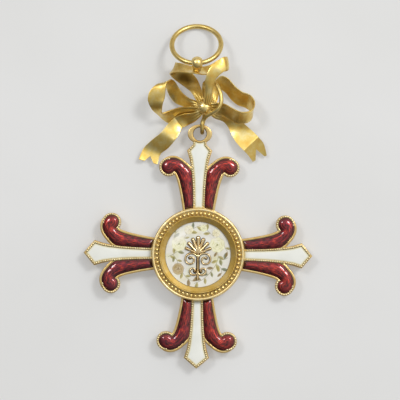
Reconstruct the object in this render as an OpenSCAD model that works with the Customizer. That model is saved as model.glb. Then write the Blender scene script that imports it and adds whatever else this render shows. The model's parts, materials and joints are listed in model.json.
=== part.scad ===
// A cross-shaped order medal lying on its back, in millimetres.
// The origin is the centre of the back cap's flat face, +Z out of the front and +Y towards the ring.

/* [Cross] */
// Width of the cross from tip to tip
cross_span = 42; // [38:0.5:46]
// Height of the plate's back above the surface it lies on
plate_back = 0.9; // [0.7:0.1:1.2]
// Thickness of the plate under the enamel
plate_t = 0.8; // [0.6:0.1:1]
// Height of the raised borders above the plate
border_h = 0.8; // [0.6:0.1:1]
// Width of the gold border round a red scroll
scroll_border = 0.42; // [0.3:0.01:0.5]
// Half width of a red scroll's curl
curl_r = 1.15; // [1.1:0.01:1.2]
// Radius of the rounded head of a red scroll
scroll_head_r = 1.3; // [1.25:0.01:1.35]
// How far the red enamel stands above the borders
red_rise = 0.2; // [0:0.05:0.4]

/* [Medallion] */
// Outer radius of the bezel
bezel_r = 8.45; // [8.3:0.05:8.6]
// Height of the bezel above the cross
bezel_h = 1.6; // [1.4:0.05:2]
// Radius of the white disc
disc_r = 6; // [5.9:0.05:6.1]
// Thickness of the white disc
disc_t = 0.65; // [0.5:0.05:0.8]
// Number of beads round the bezel
beads = 62; // [50:1:62]
// Radius of one bead
bead_r = 0.33; // [0.28:0.01:0.35]
// Thickness of the raised flourish
ornament_t = 0.4; // [0.3:0.05:0.6]
// Radius of the back cap
cap_r = 7.3; // [6.5:0.1:7.6]

/* [Suspension] */
// Half width of the eyelet on the top arm
eyelet_r = 2.25; // [2.15:0.05:2.35]
// Height of the eyelet's outline as a share of its width
eyelet_squash = 0.78; // [0.76:0.01:0.85]
// Radius of the eyelet's hole
eyelet_hole_r = 1.22; // [1.15:0.01:1.25]
// Diameter of the link's wire
link_d = 0.75; // [0.6:0.05:0.8]
// Radius of the suspension ring to the middle of its wire
ring_r = 4.5; // [4.3:0.05:4.6]
// Diameter of the suspension ring's wire
ring_d = 0.9; // [0.8:0.05:0.95]
// Radius of the ball that holds the ring
eye_r = 1.2; // [1.15:0.01:1.25]
// Radius of the hole through the ball
eye_hole_r = 0.72; // [0.7:0.01:0.75]

/* [Bow] */
// Thickness of the ribbon
ribbon_t = 0.25; // [0.2:0.05:0.3]
// Radius of the knot
knot_r = 1.35; // [1.3:0.01:1.4]

/* [Hidden] */
$fn = 48;
// Clearance between an enamel field and its gold
gap = 0.03;
// How far the white enamel lies below the borders
white_drop = 0.08;

enamel_z = plate_back + plate_t;
front_z = enamel_z + border_h;
tip_r = cross_span / 2;
hub_r = bezel_r + 0.1;
white_top = front_z - white_drop;
disc_top = front_z + disc_t;

// Top of the bezel, with the beads' channel: in from its edge, down from its top
BEZEL_TOP = [
    [0, 0.5],
    [0.15, 0.3],
    [0.4, 0.3],
    [0.5, 0.55],
    [1.3, 0.55],
    [1.35, 0.1],
    [1.45, 0],
    [1.65, 0]
];
// The beads' circle, in from the bezel's edge and down from its top
bead_inset = 0.9;
bead_drop = 0.45;
// How far the foot of the inner bevel stands above the disc
bezel_lip = 0.05;
cap_chamfer = 0.25;

// Half of a white arm's outline: distance from the centre, half width
ARM = [
    [7.6, 1.0],
    [10, 1.06],
    [12, 1.13],
    [14, 1.27],
    [16, 1.52],
    [17.5, 1.83],
    [19.05, 2.32]
];
// Half of the top arm's neck, past its shoulder
NECK = [
    [20.1, 1.25],
    [20.7, 1.2]
];
// Half of the white enamel's outline. The border round it widens towards the arm's tip.
WHITE = [
    [7.6, 0.67],
    [10, 0.73],
    [12, 0.79],
    [14, 0.9],
    [16, 1.1],
    [17.5, 1.33],
    [18.95, 1.76]
];
WHITE_TIP = [[20.45, 0]];
// The same past the shoulder of the top arm. It ends at the eyelet's rim.
WHITE_NECK = [
    [19.95, 0.9],
    [20.8, 0.86]
];
// Outer side of a red scroll's stem: distance from the centre, sideways
STEM_OUTER = [
    [7.6, 2.46],
    [9, 2.66],
    [10.5, 2.93],
    [12, 3.24],
    [13.4, 3.6],
    [14.5, 4.0],
    [15.1, 4.3]
];
// Inner side, under the white arm and then away from it, back towards the centre
STEM_INNER = [
    [16.4, 2.45],
    [15.9, 1.95],
    [15.4, 1.58],
    [14.9, 1.3],
    [14.4, 0.9],
    [7.6, 0.5]
];
// Middle line of the scroll's curl: distance from the centre, sideways
CURL = [
    [14.5, 2.75],
    [15.4, 3.2],
    [16.12, 3.95],
    [16.48, 4.75],
    [16.35, 5.35],
    [16.05, 5.6]
];
// Centre of the scroll's round head
HEAD = [15.95, 5.66];
// Half width of the curl's middle line before it is widened to a stroke
hair = 0.01;

eyelet_y = 22.1;
eyelet_z = 1;
// Width of the rim between the eyelet's hole and the white enamel
eyelet_rim = 0.42;

knot_at = [0.77, 27, 3.15];
knot_sides = 12;
eye_at = [-0.7, 34.85, 5.93];
eye_seat = [-0.7, 33.6, 5.2];
collar_r = 0.75;
collar_l = 0.7;

// The ring is turned a little on the ball, and leans until its far side lies on the surface
ring_yaw = 3;
ring_clear = 0.02;
ring_lean = asin((eye_at[2] - ring_d / 2 - ring_clear) / (2 * ring_r));

// Every ribbon below has one row per fold or bend:
// x, y and z of one edge, then x, y and z of the other edge.

// Upper ribbon: up to the left loop, across the top and down the upper right loop
CROWN = [
    [-0.1, 27.4, 2.9, 0.7, 27.5, 2.8],
    [-0.8, 28.3, 3.1, 0.6, 28.4, 3.0],
    [-1.8, 29.8, 2.5, 0.3, 29.6, 2.5],
    [-2.9, 30.7, 1.7, -0.1, 30.9, 2.0],
    [-4.0, 31.5, 1.2, -0.8, 32.4, 1.6],
    [-4.9, 32.2, 1.1, -2.2, 33.8, 1.4],
    [-5.5, 32.7, 1.8, -3.8, 34.7, 1.8],
    [-5.7, 33.0, 3.1, -4.6, 35.1, 2.8],
    [-5.3, 33.1, 4.7, -4.3, 35.0, 3.8],
    [-3.8, 33.1, 6.0, -3.3, 34.8, 4.1],
    [-2.0, 33.0, 6.4, -1.9, 34.4, 4.0],
    [-0.7, 32.9, 6.4, -0.7, 34.3, 4.0],
    [0.5, 32.8, 5.5, 0.6, 34.4, 3.4],
    [1.7, 33.0, 4.0, 1.9, 34.9, 2.7],
    [3.1, 33.4, 3.2, 3.1, 35.7, 2.6],
    [4.4, 33.6, 3.1, 4.3, 36.1, 3.0],
    [5.0, 33.8, 4.0, 4.7, 36.2, 4.1],
    [4.8, 33.8, 4.9, 3.9, 36.0, 5.2],
    [4.0, 33.3, 5.3, 2.5, 34.9, 5.5],
    [3.3, 32.7, 5.3, 1.6, 33.9, 5.6],
    [2.7, 32.0, 5.2, 1.0, 32.6, 5.5],
    [2.4, 31.0, 4.9, 0.8, 31.3, 5.2],
    [2.1, 29.8, 4.5, 0.9, 30.0, 4.7],
    [2.0, 28.6, 4.1, 0.7, 28.6, 4.3],
    [1.6, 27.4, 3.9, 0.7, 27.4, 3.9]
];

// Right loop
RIGHT = [
    [0.9, 26.9, 2.7, 1.5, 26.7, 2.5],
    [1.4, 27.6, 2.6, 2.6, 27.3, 2.3],
    [1.9, 28.6, 2.3, 3.1, 28.3, 1.9],
    [2.1, 30.0, 2.2, 3.3, 29.6, 1.4],
    [2.5, 31.6, 2.4, 3.4, 30.4, 1.1],
    [3.7, 32.8, 2.6, 4.0, 30.3, 0.9],
    [5.1, 32.3, 2.5, 4.8, 29.7, 0.8],
    [6.3, 31.0, 2.3, 5.6, 28.7, 0.6],
    [7.6, 30.0, 2.2, 6.8, 27.7, 0.5],
    [8.8, 29.6, 2.3, 8.2, 27.2, 0.7],
    [9.5, 29.0, 2.9, 9.1, 26.6, 1.3],
    [9.9, 28.0, 4.0, 9.6, 25.8, 2.2],
    [9.7, 26.9, 5.0, 9.3, 24.8, 3.0],
    [8.8, 26.2, 5.6, 8.4, 24.2, 3.5],
    [7.4, 26.1, 5.7, 6.7, 24.1, 3.5],
    [6.0, 26.7, 5.2, 5.5, 24.8, 3.2],
    [4.6, 27.5, 4.5, 4.1, 25.7, 3.0],
    [3.2, 27.8, 3.9, 2.9, 26.2, 2.8],
    [1.6, 27.6, 3.5, 1.4, 26.6, 2.8]
];

// Left loop
LEFT = [
    [0.4, 27.0, 2.4, 0.4, 27.6, 2.5],
    [-0.3, 27.1, 2.2, -0.3, 28.0, 2.6],
    [-1.9, 26.9, 1.6, -2.0, 28.6, 2.5],
    [-3.4, 27.3, 1.0, -3.1, 29.4, 2.1],
    [-4.7, 27.9, 0.6, -3.8, 30.2, 1.9],
    [-5.6, 29.0, 0.5, -4.3, 31.0, 2.0],
    [-6.2, 30.2, 1.0, -4.8, 31.7, 2.5],
    [-6.8, 31.0, 2.2, -5.3, 31.9, 3.3],
    [-7.6, 31.0, 3.4, -5.9, 31.5, 4.2],
    [-8.5, 30.4, 4.1, -6.3, 30.9, 4.8],
    [-9.3, 29.3, 4.3, -6.4, 29.8, 5.0],
    [-9.4, 28.2, 4.1, -6.5, 28.6, 4.9],
    [-9.2, 27.3, 3.6, -6.8, 27.6, 4.8],
    [-8.6, 26.4, 2.7, -7.0, 26.7, 4.5],
    [-7.7, 25.5, 1.8, -7.1, 25.9, 4.2],
    [-6.8, 24.7, 1.2, -6.7, 25.8, 3.8],
    [-5.7, 24.1, 0.9, -5.5, 26.3, 3.3],
    [-3.7, 24.4, 1.2, -3.6, 26.9, 3.1],
    [-1.8, 25.3, 2.0, -1.8, 27.0, 3.3],
    [0.1, 26.1, 2.8, 0.1, 26.9, 3.4]
];

// Left swallowtail
TAIL_LEFT = [
    [0.4, 26.5, 3.3, 0.8, 26.1, 2.8],
    [-1.5, 25.9, 3.1, -0.8, 24.5, 2.1],
    [-3.1, 25.7, 2.8, -2.1, 23.8, 1.4],
    [-4.7, 25.1, 2.5, -3.3, 23.2, 1.3],
    [-6.1, 23.6, 2.5, -3.9, 21.9, 1.8],
    [-7.3, 22.3, 2.4, -4.6, 20.8, 2.1],
    [-8.8, 20.9, 1.4, -5.8, 19.4, 1.4],
    [-10.3, 19.4, 0.6, -7.2, 18.3, 0.7],
    [-11.2, 17.3, 0.7, -7.7, 16.4, 0.7]
];

// Right swallowtail
TAIL_RIGHT = [
    [1.2, 26.3, 2.7, 1.5, 26.8, 3.0],
    [2.6, 25.1, 1.7, 3.3, 26.1, 2.4],
    [4.1, 24.6, 1.2, 4.7, 25.6, 2.2],
    [5.0, 23.8, 0.9, 6.1, 25.1, 2.0],
    [5.7, 22.5, 0.8, 7.6, 24.5, 1.8],
    [6.4, 21.1, 0.9, 9.0, 23.4, 1.7],
    [7.2, 20.1, 1.2, 9.9, 22.6, 1.8],
    [8.1, 19.2, 1.5, 10.8, 21.7, 1.9],
    [9.0, 18.3, 1.2, 11.8, 20.5, 1.3],
    [9.8, 17.2, 0.6, 12.4, 18.4, 0.7]
];

// V notch of a swallowtail: x and y of its point, then of its two open corners
NOTCH_LEFT = [[-9.1, 17.9], [-10.9, 16.4], [-8.0, 15.7]];
NOTCH_RIGHT = [[10.4, 19.5], [10.3, 16.4], [12.6, 17.7]];

// Middle line of the link's wire, once round: x, y, z
LINK = [
    [0.5, 24.4, 3.1],
    [0.4, 23.7, 3.08],
    [0.4, 22.8, 2.75],
    [0.4, 22.35, 1.6],
    [0.4, 22.8, 0.75],
    [0.4, 23.7, 0.5],
    [0.4, 25, 0.5],
    [0.4, 26.5, 0.55],
    [0.5, 28, 0.6],
    [0.6, 29.5, 0.8],
    [0.6, 30.8, 1.4],
    [0.8, 31.5, 2.4],
    [1.5, 31.8, 3.3],
    [2.4, 31.5, 3.9],
    [3.0, 30.9, 4.3],
    [3.4, 30.1, 4.7],
    [3.7, 29.2, 4.9],
    [3.8, 28.2, 5],
    [3.7, 27.4, 5],
    [3.3, 26.7, 4.9],
    [2.7, 26.2, 4.6],
    [2.0, 25.8, 4.2],
    [1.3, 25.4, 3.8],
    [0.8, 24.9, 3.3]
];
link_middle = [1.6, 27, 2.7];

// Right half of the flourish on the disc. Petals: root x and y, tip x and y, root radius, tip radius
PETALS = [
    [0, 0.2, 0, 3.0, 0.2, 0.4],
    [0, 0.2, 0.95, 2.7, 0.18, 0.35],
    [0, 0.2, 1.7, 2.0, 0.16, 0.32],
    [0, 0.2, 2.15, 1.1, 0.14, 0.28],
    [0, -3.2, 0, -4.6, 0.3, 0.14]
];
// Volutes: centre x and y, start radius, end radius, start angle, end angle
VOLUTES = [
    [1.3, -0.95, 1.3, 0.35, 155, -300],
    [0.85, -3.0, 0.85, 0.28, 200, 560]
];
volute_w = 0.36;
volute_step = 15;
volute_eye_r = 0.28;
// Share of its width that a volute loses on its way in
volute_taper = 0.4;
// The stem between the palmette and the drop: half width, lowest and highest y
stem_w = 0.3;
stem_low = -3.4;
stem_high = 0.4;

ARM_NAMES = ["white_arm_top", "white_arm_left", "white_arm_bottom", "white_arm_right"];

function unit(v) = v / norm(v);

// A point on the smooth curve through b and c, between its neighbours a and d
function curve(a, b, c, d, t) =
    0.5 * (2 * b + (c - a) * t + (2 * a - 5 * b + 4 * c - d) * t * t + (3 * b - a - 3 * c + d) * t * t * t);

// Rows of a table with smooth rows put between them
function smooth(rows, steps) = let (last = len(rows) - 1) [
    for (i = [0 : last - 1], k = [0 : steps - 1])
        curve(rows[max(i - 1, 0)], rows[i], rows[i + 1], rows[min(i + 2, last)], k / steps),
    rows[last]
];

// The same for a table whose last row joins its first
function smooth_loop(rows, steps) = let (n = len(rows)) [
    for (i = [0 : n - 1], k = [0 : steps - 1])
        curve(rows[(i + n - 1) % n], rows[i], rows[(i + 1) % n], rows[(i + 2) % n], k / steps)
];

// Arm outlines lie along +X and are turned to their place
function reversed(rows) = [for (i = [len(rows) - 1 : -1 : 0]) rows[i]];
function mirrored(rows) = concat(rows, [for (row = reversed(rows)) [row[0], -row[1]]]);

module pointed_outline() {
    polygon(mirrored(concat(ARM, [[tip_r, 0]])));
}

module necked_outline() {
    polygon(mirrored(concat(ARM, NECK)));
}

module arm_outline(i) {
    rotate(90 * i + 90)
        if (i == 0) necked_outline();
        else pointed_outline();
}

// One scroll beside an arm along +X, on its left
module scroll_stroke() {
    line = smooth(CURL, 3);
    polygon(concat(smooth(STEM_OUTER, 3), STEM_INNER));
    offset(r = curl_r)
        polygon(concat([for (p = line) p + [0, hair]], reversed(line)));
    translate(HEAD) circle(r = scroll_head_r);
}

module red_area() {
    difference() {
        scroll_stroke();
        pointed_outline();
        circle(r = hub_r);
    }
}

module scroll_outline() {
    offset(r = scroll_border) red_area();
}

// Scrolls 0 and 1 belong to the top arm, and so on round to the left
module place_scroll(i) {
    rotate(90 * floor(i / 2) + 90)
        mirror([0, i % 2, 0])
            children();
}

module cross_outline() {
    circle(r = hub_r);
    for (i = [0 : 3]) arm_outline(i);
    for (i = [0 : 7]) place_scroll(i) scroll_outline();
}

module white_area(i) {
    difference() {
        rotate(90 * i + 90)
            polygon(mirrored(concat(WHITE, i == 0 ? WHITE_NECK : WHITE_TIP)));
        circle(r = hub_r);
        translate([0, eyelet_y]) circle(r = eyelet_hole_r + eyelet_rim);
    }
}

module enamel_fields() {
    for (i = [0 : 3]) white_area(i);
    for (i = [0 : 7]) place_scroll(i) red_area();
}

module cross_body() color("goldenrod")
    difference() {
        union() {
            translate([0, 0, plate_back])
                linear_extrude(front_z - plate_back) cross_outline();
            translate([0, eyelet_y, eyelet_z])
                scale([1, eyelet_squash, 1])
                    cylinder(r = eyelet_r, h = front_z - eyelet_z);
        }
        translate([0, 0, enamel_z])
            linear_extrude(2 * border_h) enamel_fields();
        translate([0, eyelet_y, 0])
            cylinder(r = eyelet_hole_r, h = 2 * front_z);
    }

module white_arm(i) color("white") {
    translate([0, 0, enamel_z])
        linear_extrude(white_top - enamel_z)
            offset(delta = -gap) white_area(i);
}

module red_scroll(i) color("darkred") {
    place_scroll(i)
        translate([0, 0, enamel_z]) {
            linear_extrude(front_z - enamel_z)
                offset(delta = -gap) red_area();
            translate([0, 0, front_z - enamel_z])
                linear_extrude(red_rise)
                    offset(delta = -2 * red_rise) red_area();
        }
}

// Half section of the bezel: radius, height above the cross
module bezel_section() {
    polygon([
        [disc_r + gap, 0],
        [bezel_r, 0],
        for (p = BEZEL_TOP) [bezel_r - p[0], bezel_h - p[1]],
        [disc_r + gap, disc_t + bezel_lip]
    ]);
}

module bezel() color("gold")
    translate([0, 0, front_z]) {
        rotate_extrude($fn = 96) bezel_section();
        for (i = [0 : beads - 1])
            rotate(360 * i / beads)
                translate([bezel_r - bead_inset, 0, bezel_h - bead_drop])
                    sphere(r = bead_r, $fn = 24);
    }

module medallion_disc() color("ivory")
    translate([0, 0, front_z])
        cylinder(r = disc_r, h = disc_t, $fn = 96);

// One rounded leaf of the flourish
module petal(p) {
    across = unit([p[3] - p[1], p[0] - p[2]]);
    root = [p[0], p[1]];
    tip = [p[2], p[3]];
    translate(root) circle(r = p[4], $fn = 16);
    translate(tip) circle(r = p[5], $fn = 16);
    polygon([root + across * p[4], root - across * p[4], tip - across * p[5], tip + across * p[5]]);
}

function volute_point(v, k, side) = let (
        turns = (v[5] - v[4]) / volute_step,
        f = k / abs(turns),
        a = v[4] + (v[5] - v[4]) * f,
        r = v[2] + (v[3] - v[2]) * f + side * volute_w / 2 * (1 - volute_taper * f)
    )
    [v[0] + r * cos(a), v[1] + r * sin(a)];

module volute(v) {
    last = abs(v[5] - v[4]) / volute_step;
    polygon(concat(
        [for (k = [0 : last]) volute_point(v, k, 1)],
        [for (k = [last : -1 : 0]) volute_point(v, k, -1)]
    ));
    translate(volute_point(v, last, 0)) circle(r = volute_eye_r, $fn = 16);
}

// The offset joins petals and volutes that only touch
module ornament_area() {
    offset(delta = gap)
        for (side = [0, 1])
            mirror([side, 0, 0]) {
                for (p = PETALS) petal(p);
                for (v = VOLUTES) volute(v);
                translate([0, stem_low]) square([stem_w, stem_high - stem_low]);
            }
}

module ornament() color("goldenrod")
    translate([0, 0, disc_top])
        linear_extrude(ornament_t) ornament_area();

module back_cap() color("goldenrod")
    rotate_extrude($fn = 96)
        polygon([
            [0, 0],
            [cap_r - cap_chamfer, 0],
            [cap_r, cap_chamfer],
            [cap_r, plate_back],
            [0, plate_back]
        ]);

// Faces of a strip of four-cornered sections, closed at both ends
function strip_faces(n) = [
    [3, 2, 1], [3, 1, 0],
    for (i = [0 : n - 2], k = [0 : 3])
        let (
            a = 4 * i + k,
            b = 4 * i + (k + 1) % 4
        )
        each [[a, b, b + 4], [a, b + 4, a + 4]],
    [4 * n - 4, 4 * n - 3, 4 * n - 2], [4 * n - 4, 4 * n - 2, 4 * n - 1]
];

function edge_a(row) = [row[0], row[1], row[2]];
function edge_b(row) = [row[3], row[4], row[5]];

module ribbon(table, steps) {
    rows = smooth(table, steps);
    n = len(rows);
    mid = [for (row = rows) (edge_a(row) + edge_b(row)) / 2];
    points = [
        for (i = [0 : n - 1])
            let (
                a = edge_a(rows[i]),
                b = edge_b(rows[i]),
                along = mid[min(i + 1, n - 1)] - mid[max(i - 1, 0)],
                out = unit(cross(b - a, along)) * ribbon_t / 2
            )
            each [a - out, b - out, b + out, a + out]
    ];
    polyhedron(points, strip_faces(n), convexity = 10);
}

module notch(corners) {
    translate([0, 0, -1]) linear_extrude(6) polygon(corners);
}

module eye() {
    out = eye_at - eye_seat;
    translate(eye_seat)
        rotate([-atan2(out[1], out[2]), 0, 0])
            cylinder(r = collar_r, h = collar_l, $fn = 32);
    translate(eye_at)
        rotate([0, -90, 0])
            rotate_extrude()
                difference() {
                    circle(r = eye_r);
                    translate([-2 * eye_r, -2 * eye_r])
                        square([2 * eye_r + eye_hole_r, 4 * eye_r]);
                }
}

module bow() color("gold") {
    ribbon(CROWN, 3);
    ribbon(RIGHT, 3);
    ribbon(LEFT, 3);
    difference() {
        ribbon(TAIL_LEFT, 3);
        notch(NOTCH_LEFT);
    }
    difference() {
        ribbon(TAIL_RIGHT, 3);
        notch(NOTCH_RIGHT);
    }
    translate(knot_at) sphere(r = knot_r, $fn = knot_sides);
    eye();
}

// Faces of a closed tube of n rings with m corners each
function tube_faces(n, m) = [
    for (i = [0 : n - 1], k = [0 : m - 1])
        let (
            next = (i + 1) % n,
            a = i * m + k,
            b = i * m + (k + 1) % m,
            c = next * m + (k + 1) % m,
            d = next * m + k
        )
        each [[a, d, c], [a, c, b]]
];

module link_wire() color("gold") {
    sides = 8;
    line = smooth_loop(LINK, 2);
    n = len(line);
    points = [
        for (i = [0 : n - 1])
            let (
                along = unit(line[(i + 1) % n] - line[(i + n - 1) % n]),
                from_middle = line[i] - link_middle,
                u = unit(from_middle - along * (from_middle * along)),
                v = cross(along, u)
            )
            for (k = [0 : sides - 1])
                line[i] + link_d / 2 * (cos(360 * k / sides) * u + sin(360 * k / sides) * v)
    ];
    polyhedron(points, tube_faces(n, sides), convexity = 10);
}

module suspension_ring() color("gold")
    translate(eye_at)
        rotate([-ring_lean, 0, ring_yaw])
            translate([0, ring_r, 0])
                rotate_extrude($fn = 96)
                    translate([ring_r, 0]) circle(d = ring_d, $fn = 24);

cross_body();
bezel();
medallion_disc();
ornament();
back_cap();
for (i = [0 : 3])
    white_arm(i);
for (i = [0 : 7])
    red_scroll(i);
bow();
link_wire();
suspension_ring();
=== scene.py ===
# %% [markdown]
# # A cross medal in gold and enamel
# The medal is a small piece of jeweller's work: a gold cross with cells of white and ruby enamel, a round
# medallion in a beaded bezel, and a bow of gold ribbon that hangs it from a ring. The CAD parts give every
# place and size. This script loads them and puts detailed pieces in their stead, one cell at a time.

import json
import math

import bmesh
import bpy
import numpy as np
from mathutils import Matrix, Vector

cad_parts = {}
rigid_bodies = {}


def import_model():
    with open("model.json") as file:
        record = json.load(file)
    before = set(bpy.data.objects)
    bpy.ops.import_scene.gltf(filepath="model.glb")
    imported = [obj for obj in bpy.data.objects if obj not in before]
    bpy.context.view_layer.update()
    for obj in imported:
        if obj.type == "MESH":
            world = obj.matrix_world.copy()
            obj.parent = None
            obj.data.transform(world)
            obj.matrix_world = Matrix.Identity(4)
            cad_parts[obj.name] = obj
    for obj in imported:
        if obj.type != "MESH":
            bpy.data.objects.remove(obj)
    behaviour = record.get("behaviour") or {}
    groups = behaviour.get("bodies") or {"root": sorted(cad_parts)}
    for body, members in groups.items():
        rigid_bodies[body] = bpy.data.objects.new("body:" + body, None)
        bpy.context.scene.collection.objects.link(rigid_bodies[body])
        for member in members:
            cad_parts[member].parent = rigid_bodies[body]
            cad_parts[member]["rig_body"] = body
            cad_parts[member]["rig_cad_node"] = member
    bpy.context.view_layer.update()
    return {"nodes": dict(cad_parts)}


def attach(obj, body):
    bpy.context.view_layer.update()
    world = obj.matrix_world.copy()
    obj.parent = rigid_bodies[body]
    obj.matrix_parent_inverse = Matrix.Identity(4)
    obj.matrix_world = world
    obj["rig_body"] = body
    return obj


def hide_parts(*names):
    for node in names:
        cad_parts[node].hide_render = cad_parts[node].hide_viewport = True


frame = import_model()
print("CAD parts:", len(frame["nodes"]))

# %% [markdown]
# The photograph looks straight down at a medal on a pale surface. A long lens from a third of a metre keeps
# the cross square, and a slight roll gives the lean of its upright arm.

# %% Camera
MM = 0.001
FRONT_Z = 2.5
DISTANCE = 350
VIEW_WIDTH = 73.4
VIEW_CENTRE = (0.21, 9.98)
ROLL = math.radians(0.9)

camera_data = bpy.data.cameras.new("camera")
camera_data.lens = camera_data.sensor_width * DISTANCE / VIEW_WIDTH
camera_data.clip_start = 10 * MM
camera = bpy.data.objects.new("camera", camera_data)
camera.location = Vector((*VIEW_CENTRE, FRONT_Z + DISTANCE)) * MM
camera.rotation_euler = (0, 0, ROLL)
bpy.context.scene.collection.objects.link(camera)
bpy.context.scene.camera = camera
print("lens:", round(camera_data.lens), "mm")

# %% [markdown]
# Jewellery is modelled in millimetres here, because Blender's tools lose fine detail on so small a thing. Each
# finished piece is then scaled to metres, with its place in its mesh.

# %% Tools for making a piece
SPECK = 0.002


def pick(*pieces):
    """Selects these pieces alone. The last one becomes active."""
    bpy.ops.object.select_all(action="DESELECT")
    for piece in pieces:
        piece.select_set(True)
    bpy.context.view_layer.objects.active = pieces[-1]


def made(name):
    """The object that the last operator made, under its name."""
    piece = bpy.context.object
    piece.name = name
    return piece


def modify(piece, kind, **settings):
    """Adds a modifier with its settings and applies it."""
    pick(piece)
    modifier = piece.modifiers.new(kind, kind)
    for name, value in settings.items():
        setattr(modifier, name, value)
    bpy.ops.object.modifier_apply(modifier=modifier.name)


def edit(piece, kind="FACE", action="DESELECT"):
    """Opens a piece for editing, with nothing or all of it selected."""
    pick(piece)
    bpy.ops.object.mode_set(mode="EDIT")
    bpy.ops.mesh.select_mode(type=kind)
    bpy.ops.mesh.select_all(action=action)
    return bmesh.from_edit_mesh(piece.data)


def close_edit():
    """Goes back to object mode."""
    bpy.ops.object.mode_set(mode="OBJECT")


def close_outwards():
    """Turns every face of the open piece outwards and goes back to object mode."""
    bpy.ops.mesh.select_all(action="SELECT")
    bpy.ops.mesh.normals_make_consistent(inside=False)
    close_edit()


def clone(piece, name):
    """A copy with its own mesh."""
    twin = piece.copy()
    twin.data = piece.data.copy()
    twin.name = name
    bpy.context.scene.collection.objects.link(twin)
    return twin


def weld(piece, distance=SPECK):
    """Joins points that lie closer together than a distance, and deletes the loose flaps that this leaves."""
    edit(piece, action="SELECT")
    bpy.ops.mesh.remove_doubles(threshold=distance)
    bpy.ops.mesh.select_all(action="DESELECT")
    mesh = bmesh.from_edit_mesh(piece.data)
    for face in mesh.faces:
        face.select = sum(edge.is_boundary for edge in face.edges) > len(face.edges) - 2
    bmesh.update_edit_mesh(piece.data)
    bpy.ops.mesh.delete(type="FACE")
    close_edit()


def copy_of(node, name, dissolve=True):
    """A welded copy of a CAD node, in millimetres, with its flat triangles dissolved into plain faces."""
    piece = clone(frame["nodes"][node], name)
    piece.parent = None
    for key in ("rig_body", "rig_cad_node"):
        if key in piece:
            del piece[key]
    piece.data.transform(Matrix.Scale(1 / MM, 4))
    weld(piece)
    if dissolve:
        edit(piece, action="SELECT")
        bpy.ops.mesh.dissolve_limited(angle_limit=math.radians(0.5))
        close_edit()
    if "custom_normal" in piece.data.attributes:
        piece.data.attributes.remove(piece.data.attributes["custom_normal"])
    return piece


def coordinates(piece):
    """The places of a piece's points, as an array."""
    values = np.zeros(len(piece.data.vertices) * 3)
    piece.data.vertices.foreach_get("co", values)
    return values.reshape(-1, 3)


def place_points(piece, co):
    """Moves a piece's points to these places."""
    piece.data.vertices.foreach_set("co", np.ravel(co))
    piece.data.update()


def mark_points(piece, name, values):
    """Keeps one number for each point, for a finish to read."""
    layer = piece.data.attributes.new(name, "FLOAT", "POINT")
    layer.data.foreach_set("value", np.clip(values, 0, 1).astype(np.float32))


def finish(piece, material, slot, *nodes, smooth=40, body="medal"):
    """Scales a piece to metres, gives it its finish and sets it on its body."""
    piece.scale = (MM, MM, MM)
    pick(piece)
    bpy.ops.object.transform_apply(location=True, rotation=True, scale=True)
    bpy.ops.object.shade_smooth_by_angle(angle=math.radians(smooth))
    piece.data.materials.clear()
    piece.data.materials.append(material)
    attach(piece, body)
    if nodes:
        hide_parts(*nodes)
    print(piece.name, "faces:", len(piece.data.polygons))

# %% [markdown]
# A finish is a small tree of shader nodes. Colours are written as sRGB hex, as a colour picker shows them, and
# one function turns them into linear light. The scale of a pattern comes from the real size of its marks. The
# sockets of a Mix node are picked by number, as it has several of one name.

# %% Tools for a finish
FACTOR, FIRST, SECOND, MIXED = 0, 6, 7, 2
MULTIPLY = {"data_type": "RGBA", "blend_type": "MULTIPLY"}
BLACK, WHITE = "#000000", "#FFFFFF"


def linear(hexcode):
    """Turns an sRGB hex colour into linear light."""
    channels = [int(hexcode[i : i + 2], 16) / 255 for i in (1, 3, 5)]
    return (*[c / 12.92 if c <= 0.04045 else ((c + 0.055) / 1.055) ** 2.4 for c in channels], 1)


def marks_of(size):
    """The scale of a pattern whose marks have this size in millimetres."""
    return 1 / (size * MM)


def wire(tree, node, links):
    """Links the inputs of a node. A link is written as input: (node, output)."""
    for name, (source, output) in links.items():
        tree.links.new(source.outputs[output], node.inputs[name])


def add(tree, kind, values=None, links=None, stops=(), **settings):
    """Adds a shader node with its settings, input values and links, and the stops of a colour ramp."""
    node = tree.nodes.new("ShaderNode" + kind)
    for name, value in settings.items():
        setattr(node, name, value)
    for name, value in (values or {}).items():
        node.inputs[name].default_value = value
    wire(tree, node, links or {})
    if stops:
        elements = node.color_ramp.elements
        while len(elements) < len(stops):
            elements.new(0.5)
        for element, (place, colour) in zip(elements, stops):
            element.position = place
            element.color = linear(colour)
    return node


def new_material(name, **sockets):
    """A material with its uniform values set on the shader."""
    material = bpy.data.materials.new(name)
    material.use_nodes = True
    shader = material.node_tree.nodes["Principled BSDF"]
    for socket, value in sockets.items():
        shader.inputs[socket.replace("_", " ")].default_value = value
    print("finish:", name)
    return material, material.node_tree, shader

# %% [markdown]
# The medal lies on pale card that passes some light from below, like a light table, so the shadows stay faint.
# Two soft lamps at the upper right and the upper left give short shadows and the two bright spots on every
# dome of enamel.

# %% Card and lamps
CARD_SIZE = 0.8


def lamp(name, place, size, watts):
    """A round soft light that points at the medal. Place and size are in millimetres."""
    data = bpy.data.lights.new(name, "AREA")
    data.shape = "DISK"
    data.size = size * MM
    data.energy = watts
    light = bpy.data.objects.new(name, data)
    light.location = Vector(place) * MM
    light.rotation_euler = (-Vector(place)).to_track_quat("-Z", "Y").to_euler()
    bpy.context.scene.collection.objects.link(light)
    print("lamp:", name, watts, "W")


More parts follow.
